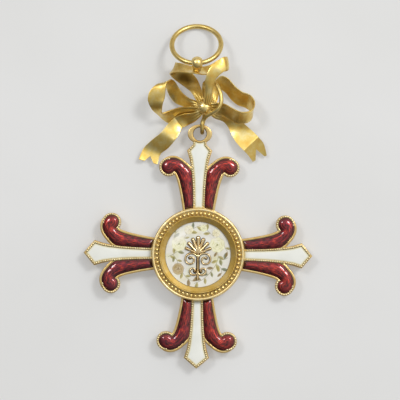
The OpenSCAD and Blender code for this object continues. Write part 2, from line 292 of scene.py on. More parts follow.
bpy.ops.mesh.primitive_plane_add(size=CARD_SIZE)
surface = made("surface")
pale_card, tree, shader = new_material(
    "pale_card", Roughness=0.65, Emission_Color=linear("#F4F4F4"), Emission_Strength=0.27
)
where = add(tree, "TexCoord")
mottle = add(tree, "TexNoise", {"Scale": marks_of(33.3), "Detail": 3}, {"Vector": (where, "Object")})
tone = add(tree, "ValToRGB", links={"Fac": (mottle, "Fac")}, stops=[(0.3, "#B2B3B3"), (0.7, "#B8B9BA")])
wire(tree, shader, {"Base Color": (tone, "Color")})
surface.data.materials.append(pale_card)

lamp("key", (280, 270, 480), 170, 1.5)
lamp("left", (-270, 230, 480), 130, 0.8)

# %% [markdown]
# Gold shows the room, so the room is pale half way up, dimmer straight above, where the camera is, and brown
# and dark near the floor, most of all at the lower left.

# %% Room
ROOM = [(0.0, "#6A543A"), (0.22, "#A08C70"), (0.45, "#DDD6CA"), (0.8, "#F2F2F0"), (0.93, "#E2E4E4")]
BRIGHT_SIDE = (0.7, 0.7, 0)
SIDES = {"From Min": -0.9, "From Max": 0.9, "To Min": 0.42, "To Max": 2.1}
ROOM_LIGHT = 0.56

world = bpy.data.worlds.new("room")
world.use_nodes = True
tree = world.node_tree
where = add(tree, "TexCoord")
toward = (where, "Generated")
axes = add(tree, "SeparateXYZ", links={"Vector": toward})
sky = add(tree, "ValToRGB", links={"Fac": (axes, "Z")}, stops=ROOM)
lean = add(tree, "VectorMath", {1: BRIGHT_SIDE}, {0: toward}, operation="DOT_PRODUCT")
side = add(tree, "MapRange", SIDES, {"Value": (lean, "Value")}, interpolation_type="SMOOTHSTEP")
strength = add(tree, "Math", {1: ROOM_LIGHT}, {0: (side, "Result")}, operation="MULTIPLY")
wire(tree, tree.nodes["Background"], {"Color": (sky, "Color"), "Strength": (strength, "Value")})
bpy.context.scene.world = world
bpy.context.scene.view_settings.view_transform = "Standard"
print("tones of the room:", len(ROOM))

# %% [markdown]
# The gold is 14 carat, a little paler than pure gold. It was cast or rolled, then pickled and brushed, so it
# has a satin skin of fine scratches and shines only where it was rubbed. Shade is painted as a darker colour
# into its corners and folds, a number on each point saying how much. There it is also rougher, with no wax.

# %% Gold finishes
MOTTLE = 1.4286
SCRATCH_DEPTH = 0.02 * MM
GLOSS_SPREAD = 0.07
DULLING = 0.2
WAX_ROUGHNESS = 0.22
# Colours of the painted shade: in hollows and folds, and in the flourish's grooves.
SOOT = "#80652C"
DARK_POLISH = "#3A2810"


def gold_finish(name, base, worn, deep, roughness, scratch, scratch_size, grime=SOOT, wax=0.0):
    """Satin gold: mottled colour, uneven gloss, scratches of a size in millimetres, and a trace of wax."""
    material, tree, shader = new_material(name, Metallic=1, Coat_Roughness=WAX_ROUGHNESS)
    where = add(tree, "TexCoord")
    at = {"Vector": (where, "Object")}
    patches = {"Scale": marks_of(MOTTLE), "Detail": 4, "Roughness": 0.6}
    mottle = add(tree, "TexNoise", patches, at)
    stops = [(0.3, deep), (0.5, base), (0.72, worn)]
    tone = add(tree, "ValToRGB", links={"Fac": (mottle, "Fac")}, stops=stops)
    # Painted shade: each point's number darkens the colour towards the shade tone, and also dulls the gloss
    # and takes off the wax.
    soil = add(tree, "Attribute", attribute_name="grime")
    layers = {FACTOR: (soil, "Fac"), FIRST: (tone, "Color")}
    soiled = add(tree, "Mix", {SECOND: linear(grime)}, layers, data_type="RGBA")
    span = {"To Min": roughness + GLOSS_SPREAD, "To Max": roughness - GLOSS_SPREAD}
    noise = {"From Min": 0.25, "From Max": 0.75}
    gloss = add(tree, "MapRange", {**noise, **span}, {"Value": (mottle, "Fac")})
    dull = add(tree, "Math", {1: DULLING}, {0: (soil, "Fac"), 2: (gloss, "Result")}, operation="MULTIPLY_ADD")
    clean = add(tree, "Math", {1: -wax, 2: wax}, {0: (soil, "Fac")}, operation="MULTIPLY_ADD", use_clamp=True)
    grain = add(tree, "TexNoise", {"Scale": marks_of(scratch_size), "Detail": 3}, at)
    depth = {"Strength": scratch, "Distance": SCRATCH_DEPTH}
    relief = add(tree, "Bump", depth, {"Height": (grain, "Fac")})
    wire(tree, shader, {"Base Color": (soiled, MIXED), "Roughness": (dull, "Value")})
    wire(tree, shader, {"Coat Weight": (clean, "Value"), "Normal": (relief, "Normal")})
    return material


SATIN_GOLD = gold_finish("satin_gold", "#EACC72", "#F6E4A4", "#E0B656", 0.37, 0.4, 0.25, wax=0.6)
CROSS_GOLD = gold_finish("cast_gold", "#DCBC7A", "#E8CE94", "#CAA460", 0.36, 0.3, 0.3)
# Painted highlight: the milled grains get a paler gold than the border, for the light their small domes catch.
MILLED_GOLD = gold_finish("milled_gold", "#D8CAA0", "#E6DAB6", "#C6B68A", 0.38, 0.2, 0.2)
WIRE_GOLD = gold_finish("drawn_gold", "#DCC47C", "#E8D494", "#CEB064", 0.38, 0.15, 0.3)
MATT_GOLD = gold_finish("matt_gold", "#DABC6E", "#E4CC8C", "#CEAE5A", 0.52, 0.2, 0.2)
TURNED_GOLD = gold_finish("turned_gold", "#F0DAA0", "#F8E8BC", "#E2C484", 0.4, 0.3, 0.25)
# Painted highlight: beads, knot and ball get a paler gold, for the light their round tops catch.
BEAD_GOLD = gold_finish("rubbed_gold", "#F2DA92", "#F8E8B2", "#E6C678", 0.34, 0.1, 0.2)
CHASED_GOLD = gold_finish("chased_gold", "#E8D0A0", "#F4E4C0", "#D8B880", 0.26, 0.2, 0.2, DARK_POLISH)

# %% [markdown]
# White enamel is opaque glass fired in a cell and polished: smooth, slightly cool, with a clear gloss. Where
# it runs thin against its wall, a little of the gold shows through.

# %% White enamel finish
GLASS_IOR = 1.52

WHITE_ENAMEL, tree, shader = new_material("white_enamel", Roughness=0.1, IOR=GLASS_IOR)
where = add(tree, "TexCoord")
clouds = add(tree, "TexNoise", {"Scale": marks_of(2.857), "Detail": 3}, {"Vector": (where, "Object")})
tone = add(tree, "ValToRGB", links={"Fac": (clouds, "Fac")}, stops=[(0.3, "#E2E4DE"), (0.6, "#E8EAE5")])
depth = add(tree, "Attribute", attribute_name="depth")
warm = add(tree, "ValToRGB", links={"Fac": (depth, "Fac")}, stops=[(0.0, "#F0E4B4"), (0.6, WHITE)])
layers = {FIRST: (tone, "Color"), SECOND: (warm, "Color")}
thin = add(tree, "Mix", {FACTOR: 1.0}, layers, **MULTIPLY)
waves = {"Strength": 0.25, "Distance": 0.05 * MM}
ripple = add(tree, "Bump", waves, {"Height": (clouds, "Fac")})
wire(tree, shader, {"Base Color": (thin, MIXED), "Normal": (ripple, "Normal")})

# %% [markdown]
# Ruby enamel is clear red glass over an engraved gold floor. The streaks are the floor, seen through the
# glass, so the metal shader carries them and a smooth clear coat above it carries the highlights. The steep
# edges are painted darker and more purple, as painted shade and a painted reflection of the room. The map
# along each scroll counts in millimetres, so a streak has a length and a width in millimetres.

# %% Ruby enamel finish
BOLD_STREAK = (0.7692, 0.3333)
FINE_STREAK = (1.1111, 0.2)

RUBY_ENAMEL, tree, shader = new_material(
    "ruby_enamel", Metallic=0.75, Roughness=0.34, Coat_Weight=1, Coat_Roughness=0.07, Coat_IOR=1.54
)
depth = add(tree, "Attribute", attribute_name="depth")
where = add(tree, "TexCoord")
drift = add(tree, "TexNoise", {"Scale": marks_of(16.67), "Detail": 1}, {"Vector": (where, "Object")})
ground = add(tree, "ValToRGB", links={"Fac": (drift, "Fac")}, stops=[(0.4, "#7E1028"), (0.6, "#981C18")])
# Painted shade and reflection: the glass colour turns darker and purple towards the steep edges.
stops = [(0.0, "#D8A0B8"), (0.25, "#D8ACC8"), (0.6, WHITE)]
rim_tint = add(tree, "ValToRGB", links={"Fac": (depth, "Fac")}, stops=stops)
layers = {FIRST: (ground, "Color"), SECOND: (rim_tint, "Color")}
glass = add(tree, "Mix", {FACTOR: 1.0}, layers, **MULTIPLY)
along = add(tree, "UVMap", uv_map="stroke")
streaks = []
for length, width in (BOLD_STREAK, FINE_STREAK):
    squash = add(tree, "Mapping", {"Scale": (1 / length, 1 / width, 1)}, {"Vector": (along, "UV")})
    swirl = {"Scale": 1.0, "Detail": 3, "Distortion": 0.5}
    streaks.append(add(tree, "TexNoise", swirl, {"Vector": (squash, "Vector")}))
bold, fine = streaks
glow = add(tree, "ValToRGB", links={"Fac": (bold, "Fac")}, stops=[(0.48, BLACK), (0.68, WHITE)])
inside = add(tree, "ValToRGB", links={"Fac": (depth, "Fac")}, stops=[(0.25, BLACK), (0.8, WHITE)])
middle = add(tree, "Math", links={0: (glow, "Color"), 1: (inside, "Color")}, operation="MULTIPLY")
layers = {FACTOR: (middle, "Value"), FIRST: (glass, MIXED)}
red = add(tree, "Mix", {SECOND: linear("#D8442A")}, layers, data_type="RGBA")
cuts = add(tree, "ValToRGB", links={"Fac": (fine, "Fac")}, stops=[(0.4, "#745C68"), (0.58, WHITE)])
cut = add(tree, "Mix", {FACTOR: 1.0}, {FIRST: (red, MIXED), SECOND: (cuts, "Color")}, **MULTIPLY)
lines = {"Strength": 0.6, "Distance": 0.08 * MM}
engraving = add(tree, "Bump", lines, {"Height": (fine, "Fac")})
wire(tree, shader, {"Base Color": (cut, MIXED), "Normal": (engraving, "Normal")})

# %% [markdown]
# The cross is one casting with raised borders round its cells. Its CAD solid has sharp edges, and real ones
# are rubbed round, so a copy of it is welded and its long edges are bevelled, the outer ones most. Shade is
# painted as a darker colour in the cells, beside the enamel, under their rims and in the eyelet's hole.

# %% Cross
PLATE_Z = 0.9
ENAMEL_Z = 1.7
EYELET_Y = 22.1
EYELET_HOLE_R = 1.22
OUTER_BEVEL = 0.15
CELL_BEVEL = 0.05
SHARP = math.radians(50)
HAIR = 0.01
NEAR = 0.05
RIM_GRIME = 0.4
EYELET_GRIME = 0.8


def bevel_edges(piece, chosen, offset, segments):
    """Bevels the sharp edges that a test chooses."""
    mesh = edit(piece, "EDGE")
    for edge in mesh.edges:
        sharp = len(edge.link_faces) == 2 and edge.calc_face_angle() > SHARP
        edge.select = sharp and chosen(edge)
    mesh.select_flush_mode()
    bmesh.update_edit_mesh(piece.data)
    bpy.ops.mesh.bevel(offset=offset, segments=segments, profile=0.5, clamp_overlap=False, loop_slide=False)
    close_edit()


def level(edge, low, high):
    """Is the edge level, and between two heights?"""
    start, end = edge.verts[0].co.z, edge.verts[1].co.z
    return abs(start - end) < HAIR and low < start < high


def on_top(edge):
    """Is the edge at the top of a border?"""
    return level(edge, FRONT_Z - NEAR, FRONT_Z + NEAR)


def on_outline(edge):
    """Is the edge at the top or the foot of the plate's outer wall, and not in a cell?"""
    foot = min(vert.co.z for face in edge.link_faces for vert in face.verts)
    return level(edge, PLATE_Z - NEAR, PLATE_Z + 3 * NEAR) or (on_top(edge) and foot < ENAMEL_Z - 0.5)


cross = copy_of("cross_body", "cross", dissolve=False)
bevel_edges(cross, on_outline, OUTER_BEVEL, 3)
bevel_edges(cross, on_top, CELL_BEVEL, 2)
weld(cross)
# Painted shade: the cell floors, the foot of the cells' rims and the eyelet's hole are darkened.
co = coordinates(cross)
in_eyelet = np.hypot(co[:, 0], co[:, 1] - EYELET_Y) < EYELET_HOLE_R + 2 * NEAR
cell_floor = abs(co[:, 2] - ENAMEL_Z) < 2 * NEAR
cell_rim = abs(co[:, 2] - FRONT_Z + CELL_BEVEL) < HAIR
mark_points(cross, "grime", cell_floor + RIM_GRIME * cell_rim + EYELET_GRIME * in_eyelet)
finish(cross, CROSS_GOLD, "cross_gold", "cross_body")

# %% [markdown]
# The borders are milled: a small wheel rolled a row of grains into the metal beside the white enamel and round
# the heads of the scrolls. One grain is modelled, a long dome that is cut flat where it joins the border, and
# a copy is set at every step along the row. The rows are those of an arm along x, turned to all four arms.

# %% Milled grains
WHITE_EDGE = [(7.6, 0.67), (10, 0.73), (12, 0.79), (14, 0.9), (16, 1.1), (17.5, 1.33), (18.95, 1.76)]
WHITE_NECK = [(19.95, 0.9), (20.6, 0.86)]
WHITE_TIP = [(20.45, 0)]
HEAD = (15.95, 5.66)
HEAD_ROW_R = 1.51
HEAD_ROW_DEGREES = range(-10, 231, 10)
GRAIN_ROW = 0.17
GRAIN_PITCH = 0.42
GRAIN = (0.2, 0.19, 0.12)
GRAIN_CUT = 0.4
FIRST_GRAIN = 8.75


def inset_line(points, distance):
    """A line moved to its right by a distance, with its corners kept."""
    points = np.array(points, float)
    along = np.diff(points, axis=0)
    along /= np.linalg.norm(along, axis=1)[:, None]
    right = np.stack([along[:, 1], -along[:, 0]], 1)
    before = np.vstack([right[:1], right])
    after = np.vstack([right, right[-1:]])
    corner = (before + after) / (1 + (before * after).sum(1))[:, None]
    return points + corner * distance


def run_of(points):
    """How far along a line each of its points lies."""
    return np.concatenate([[0], np.cumsum(np.linalg.norm(np.diff(points, axis=0), axis=1))])


def walk(points, pitch):
    """Places at even steps along a line, each with its direction."""
    marks = run_of(points)
    for s in np.arange(pitch / 2, marks[-1], pitch):
        i = min(np.searchsorted(marks, s), len(points) - 1) - 1
        step = (points[i + 1] - points[i]) / (marks[i + 1] - marks[i])
        yield points[i] + step * (s - marks[i]), math.atan2(step[1], step[0])


def cut_flat(piece, z):
    """Cuts away what lies below a height and closes the cut."""
    edit(piece, action="SELECT")
    bpy.ops.mesh.bisect(plane_co=(0, 0, z), plane_no=(0, 0, 1), use_fill=True, clear_inner=True)
    close_edit()


def copies(piece, places, name):
    """One object made of copies of a piece, each set in its place by a matrix."""
    twins = []
    for place in places:
        twin = clone(piece, name)
        twin.data.transform(place)
        twins.append(twin)
    bpy.data.objects.remove(piece)
    print("copies:", len(twins))
    pick(*twins)
    bpy.ops.object.join()
    return made(name)


bpy.ops.mesh.primitive_uv_sphere_add(segments=8, ring_count=5, radius=1)
grain = bpy.context.object
grain.data.transform(Matrix.Diagonal((*GRAIN, 1)))
cut_flat(grain, -GRAIN_CUT * GRAIN[2])
round_head = np.radians(HEAD_ROW_DEGREES)
head_row = np.stack([HEAD[0] + HEAD_ROW_R * np.cos(round_head), HEAD[1] + HEAD_ROW_R * np.sin(round_head)], 1)
places = []
for arm in range(4):
    quarter = Matrix.Rotation(math.radians(90 * arm + 90), 4, "Z")
    white_row = inset_line(WHITE_EDGE + (WHITE_NECK if arm == 0 else WHITE_TIP), -GRAIN_ROW)
    for row in (white_row, head_row):
        for side in (1, -1):
            for (x, y), angle in walk(row, GRAIN_PITCH):
                if x >= FIRST_GRAIN and y >= NEAR:
                    spot = Matrix.Translation((x, side * y, FRONT_Z))
                    places.append(quarter @ spot @ Matrix.Rotation(side * angle, 4, "Z"))
finish(copies(grain, places, "milled_grains"), MILLED_GOLD, "cross_gold")

# %% [markdown]
# A cell was filled with ground glass and fired, and surface tension drew the melt up into a dome. The field
# keeps its CAD outline. Straight cuts divide it into even cells, and each point of its top is raised by how
# far it is from the outline. The same measure is kept as the depth of the glass, for the finish.

# %% Tools for a field of enamel
WALL_ANGLE = 1
SLIVER = 0.005
DOME_POWER = 1.7


def outline_of(piece):
    """The outline of a field at the floor of its cell, as an array of its straight edges."""
    mesh = bmesh.new()
    mesh.from_mesh(piece.data)
    found = [
        [vert.co.xy for vert in edge.verts]
        for edge in mesh.edges
        if all(abs(vert.co.z - ENAMEL_Z) < HAIR for vert in edge.verts)
        and len(edge.link_faces) == 2
        and edge.calc_face_angle() > WALL_ANGLE
    ]
    mesh.free()
    return np.array(found)


def nearest(points, edges):
    """For each point, the distance to the nearest straight edge, that edge's index and the place along it."""
    start = edges[:, 0][None]
    step = edges[:, 1][None] - start
    reach = points[:, None] - start
    t = np.clip((reach * step).sum(2) / (step**2).sum(2), 0, 1)
    gap = np.linalg.norm(reach - t[..., None] * step, axis=2)
    best = gap.argmin(1)
    rows = np.arange(len(points))
    return gap[rows, best], best, t[rows, best]


def divide(piece, cell):
    """Cuts a piece into even cells along x and y, and leaves its outline as it is."""
    co = coordinates(piece)
    edit(piece)
    for axis in (0, 1):
        for place in np.arange(co[:, axis].min() + cell / 2, co[:, axis].max(), cell):
            spot, across = Vector(), Vector()
            spot[axis], across[axis] = place, 1
            bpy.ops.mesh.select_all(action="SELECT")
            bpy.ops.mesh.bisect(plane_co=spot, plane_no=across)
    close_edit()
    weld(piece, SLIVER)


def relax(piece, fixed, rounds=24):
    """Evens out the heights of a piece's free points."""
    co = coordinates(piece)
    ends = np.zeros(len(piece.data.edges) * 2, int)
    piece.data.edges.foreach_get("vertices", ends)
    a, b = ends[::2], ends[1::2]
    count = np.bincount(ends, minlength=len(co))
    for _ in range(rounds):
        around = np.bincount(a, co[b, 2], len(co)) + np.bincount(b, co[a, 2], len(co))
        co[:, 2] = np.where(fixed, co[:, 2], (co[:, 2] + around / count) / 2)
    place_points(piece, co)


def dome(piece, cell, edge_z, crown_z, width):
    """Divides a field into cells, raises its top into a dome and keeps the depth of the glass."""
    outline = outline_of(piece)
    divide(piece, cell)
    co = coordinates(piece)
    co[co[:, 2] > ENAMEL_Z + NEAR, 2] = edge_z
    place_points(piece, co)
    weld(piece, SLIVER)
    co = coordinates(piece)
    gap = nearest(co[:, :2], outline)[0]
    rise = np.clip(gap / width, 0, 1)
    upper = co[:, 2] > ENAMEL_Z + NEAR
    co[upper, 2] += (crown_z - edge_z) * (1 - (1 - rise[upper]) ** DOME_POWER)
    place_points(piece, co)
    mark_points(piece, "depth", rise)
    relax(piece, ~upper | (gap < 2 * HAIR))

# %% [markdown]
# The white fields are nearly flat, with a narrow round edge. Each arm has its own, as the top one ends in a
# neck and not in a point.

# %% White enamel
WHITE_CELL = 0.2
WHITE_EDGE_Z = 2.42
WHITE_CROWN_Z = 2.52
WHITE_ROUND = 0.5

for arm in ("top", "left", "bottom", "right"):
    field = copy_of(f"white_arm_{arm}", f"white_enamel_{arm}")
    dome(field, WHITE_CELL, WHITE_EDGE_Z, WHITE_CROWN_Z, WHITE_ROUND)
    finish(field, WHITE_ENAMEL, "white_enamel", f"white_arm_{arm}", smooth=30)

# %% [markdown]
# The ruby scrolls are strongly domed, like a cabochon. One scroll is divided and raised in the same way, and a
# map along its stroke guides the engraved streaks. The other seven are turned and mirrored copies.

# %% Ruby enamel
RUBY_CELL = 0.11
RUBY_EDGE_Z = 2.5
RUBY_CROWN_Z = 2.88
RUBY_ROUND = 0.98
SPINE = [
    (7.6, 1.73), (9, 1.84), (10.5, 2.0), (12, 2.2), (13.4, 2.45), (14.5, 2.75), (15.4, 3.2), (16.12, 3.95),
    (16.48, 4.75), (16.35, 5.35), (15.95, 5.66),
]


def map_stroke(piece, spine):
    """A UV map in millimetres: along a line, and to the side of it."""
    spine = np.array(spine, float)
    edges = np.stack([spine[:-1], spine[1:]], 1)
    marks = run_of(spine)
    points = coordinates(piece)[:, :2]
    gap, best, t = nearest(points, edges)
    step = edges[best, 1] - edges[best, 0]
    reach = points - edges[best, 0]
    side = np.sign(step[:, 0] * reach[:, 1] - step[:, 1] * reach[:, 0])
    uv = np.stack([marks[best] + t * np.diff(marks)[best], gap * side], 1)
    corners = np.zeros(len(piece.data.loops), int)
    piece.data.loops.foreach_get("vertex_index", corners)
    layer = piece.data.uv_layers.new(name="stroke")
    layer.data.foreach_set("uv", uv[corners].astype(np.float32).ravel())


scroll = copy_of("red_scroll_1", "scroll")
scroll.data.transform(Matrix.Rotation(math.radians(-90), 4, "Z"))
dome(scroll, RUBY_CELL, RUBY_EDGE_Z, RUBY_CROWN_Z, RUBY_ROUND)
map_stroke(scroll, SPINE)
for i in range(8):
    twin = clone(scroll, f"ruby_enamel_{i + 1}")
    turn = Matrix.Rotation(math.radians(90 * (i // 2) + 90), 4, "Z")
    flip = Matrix.Scale(-1 if i % 2 else 1, 4, (0, 1, 0))
    twin.data.transform(turn @ flip)
    if i % 2:
        edit(twin)
        close_outwards()
    finish(twin, RUBY_ENAMEL, "ruby_enamel", f"red_scroll_{i + 1}", smooth=38)
bpy.data.objects.remove(scroll)

# %% [markdown]
# The bezel was turned on a lathe, so its section is drawn once and spun. The section starts at the inner foot
# and runs round the outer wall, the channel for the beads, the lip and the inner bevel. The bevel was left
# matt by the scraper, so its light is soft and its yellow deeper.

# %% Bezel
BEZEL_SECTION = [
    (6.03, 2.5), (8.45, 2.5), (8.45, 3.55), (8.41, 3.7), (8.36, 3.78), (8.28, 3.81), (8.1, 3.8),
    (8.02, 3.76), (7.97, 3.68), (7.94, 3.57), (7.16, 3.57), (7.12, 3.95), (7.08, 4.04), (7.0, 4.09),
    (6.94, 4.08), (6.88, 4.02), (6.84, 3.92), (6.78, 3.86), (6.14, 3.56), (6.06, 3.48), (6.03, 3.3),
]
LIP_R = 7
CHANNEL_SOIL_TOP = 3.63
CHANNEL_SOIL_DEPTH = 0.1
BEVEL_SOIL_TOP = 3.5
BEVEL_SOIL_DEPTH = 0.5
MATT_R = 7.14
MATT_Z = 3.4


def spin(section, name, centre=(0, 0, 0), axis=(0, 0, 1), steps=144):
    """Spins a closed section, given as places in space, into a closed ring."""
    data = bpy.data.meshes.new(name)
    data.from_pydata(section, [(i, (i + 1) % len(section)) for i in range(len(section))], [])
    piece = bpy.data.objects.new(name, data)
    bpy.context.scene.collection.objects.link(piece)
    edit(piece, "VERT", "SELECT")
    bpy.ops.mesh.spin(steps=steps, angle=math.tau, center=centre, axis=axis)
    bpy.ops.mesh.select_all(action="SELECT")
    bpy.ops.mesh.remove_doubles(threshold=SPECK / 2)
    close_outwards()
    return piece


bezel = spin([(r, 0, z) for r, z in BEZEL_SECTION], "bezel_ring")
# Painted shade: the bead channel and the inner bevel are darkened, more the lower they lie.
co = coordinates(bezel)
channel = np.hypot(co[:, 0], co[:, 1]) > LIP_R
top = np.where(channel, CHANNEL_SOIL_TOP, BEVEL_SOIL_TOP)
depth = np.where(channel, CHANNEL_SOIL_DEPTH, BEVEL_SOIL_DEPTH)
mark_points(bezel, "grime", (top - co[:, 2]) / depth * (co[:, 2] > FRONT_Z + 2 * NEAR))
finish(bezel, TURNED_GOLD, "bezel_gold", "bezel", smooth=35)
bezel.data.materials.append(MATT_GOLD)
for face in bezel.data.polygons:
    face.material_index = int(face.center.xy.length < MATT_R * MM and face.center.z > MATT_Z * MM)

# %% [markdown]
# Small balls of gold sit in the channel. One is cut flat underneath, out of sight, and copied round the ring.

# %% Beads
BEADS = 62
BEAD_R = 0.33
BEAD_CUT = 0.6
BEAD_ROW_R = 7.55
BEAD_Z = 3.65

bpy.ops.mesh.primitive_uv_sphere_add(segments=14, ring_count=8, radius=BEAD_R)
bead = bpy.context.object
cut_flat(bead, -BEAD_CUT * BEAD_R)
angles = [math.tau * i / BEADS for i in range(BEADS)]
places = [Matrix.Translation((BEAD_ROW_R * math.cos(a), BEAD_ROW_R * math.sin(a), BEAD_Z)) for a in angles]
finish(copies(bead, places, "bezel_beads"), BEAD_GOLD, "bezel_gold", "bezel", smooth=80)

# %% [markdown]
# The medallion is a round plate of white enamel, slightly domed. Its paint will lie on the points of its mesh,
# so the mesh is a fine grid that is cut to a circle and given a wall.

# %% Disc
DISC_R = 5.98
DISC_Z = 3.15
DISC_CROWN = 0.07
DISC_CELLS = 150


def new_disc():
    """A fine grid cut to a circle, with a wall below its rim."""
    bpy.ops.mesh.primitive_grid_add(x_subdivisions=DISC_CELLS, y_subdivisions=DISC_CELLS, size=2 * DISC_R)
    piece = made("painted_disc")
    mesh = edit(piece)
    for face in mesh.faces:
        face.select = face.calc_center_median().length > DISC_R - DISC_R / DISC_CELLS
    bmesh.update_edit_mesh(piece.data)
    bpy.ops.mesh.delete(type="FACE")
    close_edit()
    mesh = edit(piece, "EDGE")
    for vert in mesh.verts:
        if vert.is_boundary:
            vert.co *= DISC_R / vert.co.length
    for vert in mesh.verts:
        vert.co.z = DISC_Z + DISC_CROWN * (1 - (vert.co.xy.length / DISC_R) ** 2)
    for edge in mesh.edges:
        edge.select = edge.is_boundary
    bmesh.update_edit_mesh(piece.data)
    bpy.ops.mesh.extrude_edges_move(TRANSFORM_OT_translate={"value": (0, 0, FRONT_Z - DISC_Z)})
    bpy.ops.mesh.edge_face_add()
    close_outwards()
    return piece


disc = new_disc()
spots = coordinates(disc)[:, :2]
print("points to paint:", len(spots))

# %% [markdown]
# The painter used a thin wash and a fine brush, and glazed the work over. Each brush mark is laid on the
# points as colour, soft at its edges.

# %% Brush marks
paint = np.tile(np.array(linear("#E6E6E0")[:3]), (len(spots), 1))


def mark(x, y, angle, length, width, colour, strength=0.8, bend=0.0, soft=0.06):
    """One almond-shaped brush mark, in millimetres and degrees."""
    a = math.radians(angle)
    dx, dy = spots[:, 0] - x, spots[:, 1] - y
    u = (dx * math.cos(a) + dy * math.sin(a)) / (length / 2)
    v = -dx * math.sin(a) + dy * math.cos(a) + bend * (u**2 - 0.3)
    half = width / 2 * np.clip(1 - u**2, 0, 1)
    cover = strength * np.clip((half - np.abs(v)) / soft, 0, 1)[:, None]
    paint[:] = paint * (1 - cover) + np.array(linear(colour)[:3]) * cover


def rose(x, y, r, light, mid, dark, turn=0):
    """A full-blown rose: rings of round petals with shaded edges that tighten to a dark heart."""
    for ring, count in ((0.62, 7), (0.36, 5), (0.14, 3)):
        wide = 0.95 * r * (0.35 + ring)
        for i in range(count):
            a = turn + 25 * count + 360 * i / count
            c, s = math.cos(math.radians(a)), math.sin(math.radians(a))
            petal, edge, fold = ring * r, ring * r + 0.2 * wide, 0.8 * ring * r
            mark(x + petal * c, y + petal * s, a + 90, wide, 0.5 * wide, light, 0.85, bend=0.16 * wide)
            mark(x + edge * c, y + edge * s, a + 90, 0.95 * wide, 0.16, mid, bend=0.2 * wide, soft=0.08)
            mark(x + fold * c, y + fold * s, a + 75, 0.5 * wide, 0.14, dark, 0.6, bend=0.1 * wide, soft=0.08)
    mark(x, y, turn + 30, 0.35 * r, 0.22 * r, dark)


def leaf(x, y, angle, length, colour, shade="#68643A"):
    """A leaf from its stalk outwards, with a shaded half and its middle vein."""
    c, s = math.cos(math.radians(angle)), math.sin(math.radians(angle))
    cx, cy = x + length / 2 * c, y + length / 2 * s
    aside = 0.08 * length
    mark(cx, cy, angle, length, 0.46 * length, colour, 0.85)
    mark(cx + aside * s, cy - aside * c, angle, 0.9 * length, 0.2 * length, shade, 0.4)
    mark(cx, cy, angle, 0.9 * length, 0.09, shade, 0.6, soft=0.04)


def smooth_rows(rows, steps, loop=False):
    """Rows of a table with rows put between them on a smooth curve that never swings past them."""
    rows = np.array(rows, float)
    n = len(rows)
    at = (lambda i: rows[i % n]) if loop else (lambda i: rows[min(max(i, 0), n - 1)])

    def slope(i):
        a, b, c = at(i - 1), at(i), at(i + 1)
        reach = np.linalg.norm(c - a)
        return (c - a) * min(0.5, min(np.linalg.norm(b - a), np.linalg.norm(c - b)) / max(reach, 1e-6))

    out = []
    for i in range(n if loop else n - 1):
        b, c, go, come = at(i), at(i + 1), slope(i), slope(i + 1)
        for t in np.arange(steps) / steps:
            out.append(b + go * t + (3 * (c - b) - 2 * go - come) * t**2 + (2 * (b - c) + go + come) * t**3)
    return np.array(out if loop else out + [rows[-1]])


def stem(points, colour="#86825A"):
    """A fine stem through a few points."""
    line = smooth_rows(points, 4)
    for (x0, y0), (x1, y1) in zip(line[:-1], line[1:]):
        length = math.hypot(x1 - x0, y1 - y0)
        angle = math.degrees(math.atan2(y1 - y0, x1 - x0))
        mark((x0 + x1) / 2, (y0 + y1) / 2, angle, 2.2 * length, 0.16, colour, 0.6, soft=0.05)

# %% [markdown]
# Soft clouds of tint come first, then stems with leaves on both sides, then the roses, and last two soft white
# patches of painted highlight over the upper roses. A stem is a few places on the disc. A rose has a place, a
# radius, three colours and a turn.

# %% Flowers and leaves
PALE = ("#F3F3D2", "#C6C67C", "#8C8C4C")
CREAM = ("#F6F2D6", "#D6CC92", "#B2A266")
BROWN = ("#BCA678", "#8E7040", "#6A4C26")
GREENS = ("#8E8E5A", "#6F7A58", "#B4A85E", "#94783F")
CLOUDS = ("#DADCA8", "#DDE0C4", "#D8DCE0", "#E2DCB0")
CLOUD_REACH = 5.4
GLAZE = "#FBFBFA"
LEAF_STEP = 0.8
LEAF_LEAN = 52
STEMS = [
    [(-5.5, -0.5), (-4.5, 0.0), (-3.3, 0.9)],
    [(-4.6, -0.1), (-3.9, -1.0), (-3.6, -2.0)],
    [(3.3, 0.9), (3.7, -0.3), (3.3, -1.8), (2.2, -3.4)],
    [(3.7, -0.5), (4.6, -0.9), (5.5, -0.5)],
    [(3.4, -1.7), (4.2, -2.4), (4.4, -3.4)],
    [(2.2, -3.4), (0.9, -4.6), (-0.6, -5.3)],
    [(-2.8, 2.6), (-2.2, 3.6), (-1.0, 4.7), (0.4, 5.3)],
    [(3.0, 3.0), (2.2, 3.9), (1.2, 4.8)],
    [(-3.0, -3.0), (-2.1, -4.2), (-1.0, -4.9)],
    [(-4.4, 2.6), (-4.4, 3.4), (-3.7, 4.3)],
    [(4.5, 2.4), (5.0, 1.2), (5.4, 0.6)],
]
ROSES = [
    (-3.5, 1.9, 1.65, *PALE, 10), (3.5, 1.8, 1.7, *PALE, 35), (-1.7, 4.5, 0.95, *CREAM, 50),
    (3.3, 4.0, 0.85, *CREAM, 5), (1.0, 4.8, 0.75, *PALE, 80), (-3.6, -2.7, 1.3, *BROWN, 20),
]

chance = np.random.default_rng(4)
for tone in CLOUDS * 7:
    reach, a = CLOUD_REACH * math.sqrt(chance.random()), math.tau * chance.random()
    mark(reach * math.cos(a), reach * math.sin(a), 180 * chance.random(), 3.2, 1.5, tone, 0.5, soft=0.8)
for line in STEMS:
    stem(line)
    for i, ((x, y), angle) in enumerate(walk(smooth_rows(line, 6), LEAF_STEP)):
        side = LEAF_LEAN if i % 2 else -LEAF_LEAN
        leaf(x, y, math.degrees(angle) + side, 1.05 + 0.5 * chance.random(), GREENS[chance.integers(4)])
for flower in ROSES:
    rose(*flower)
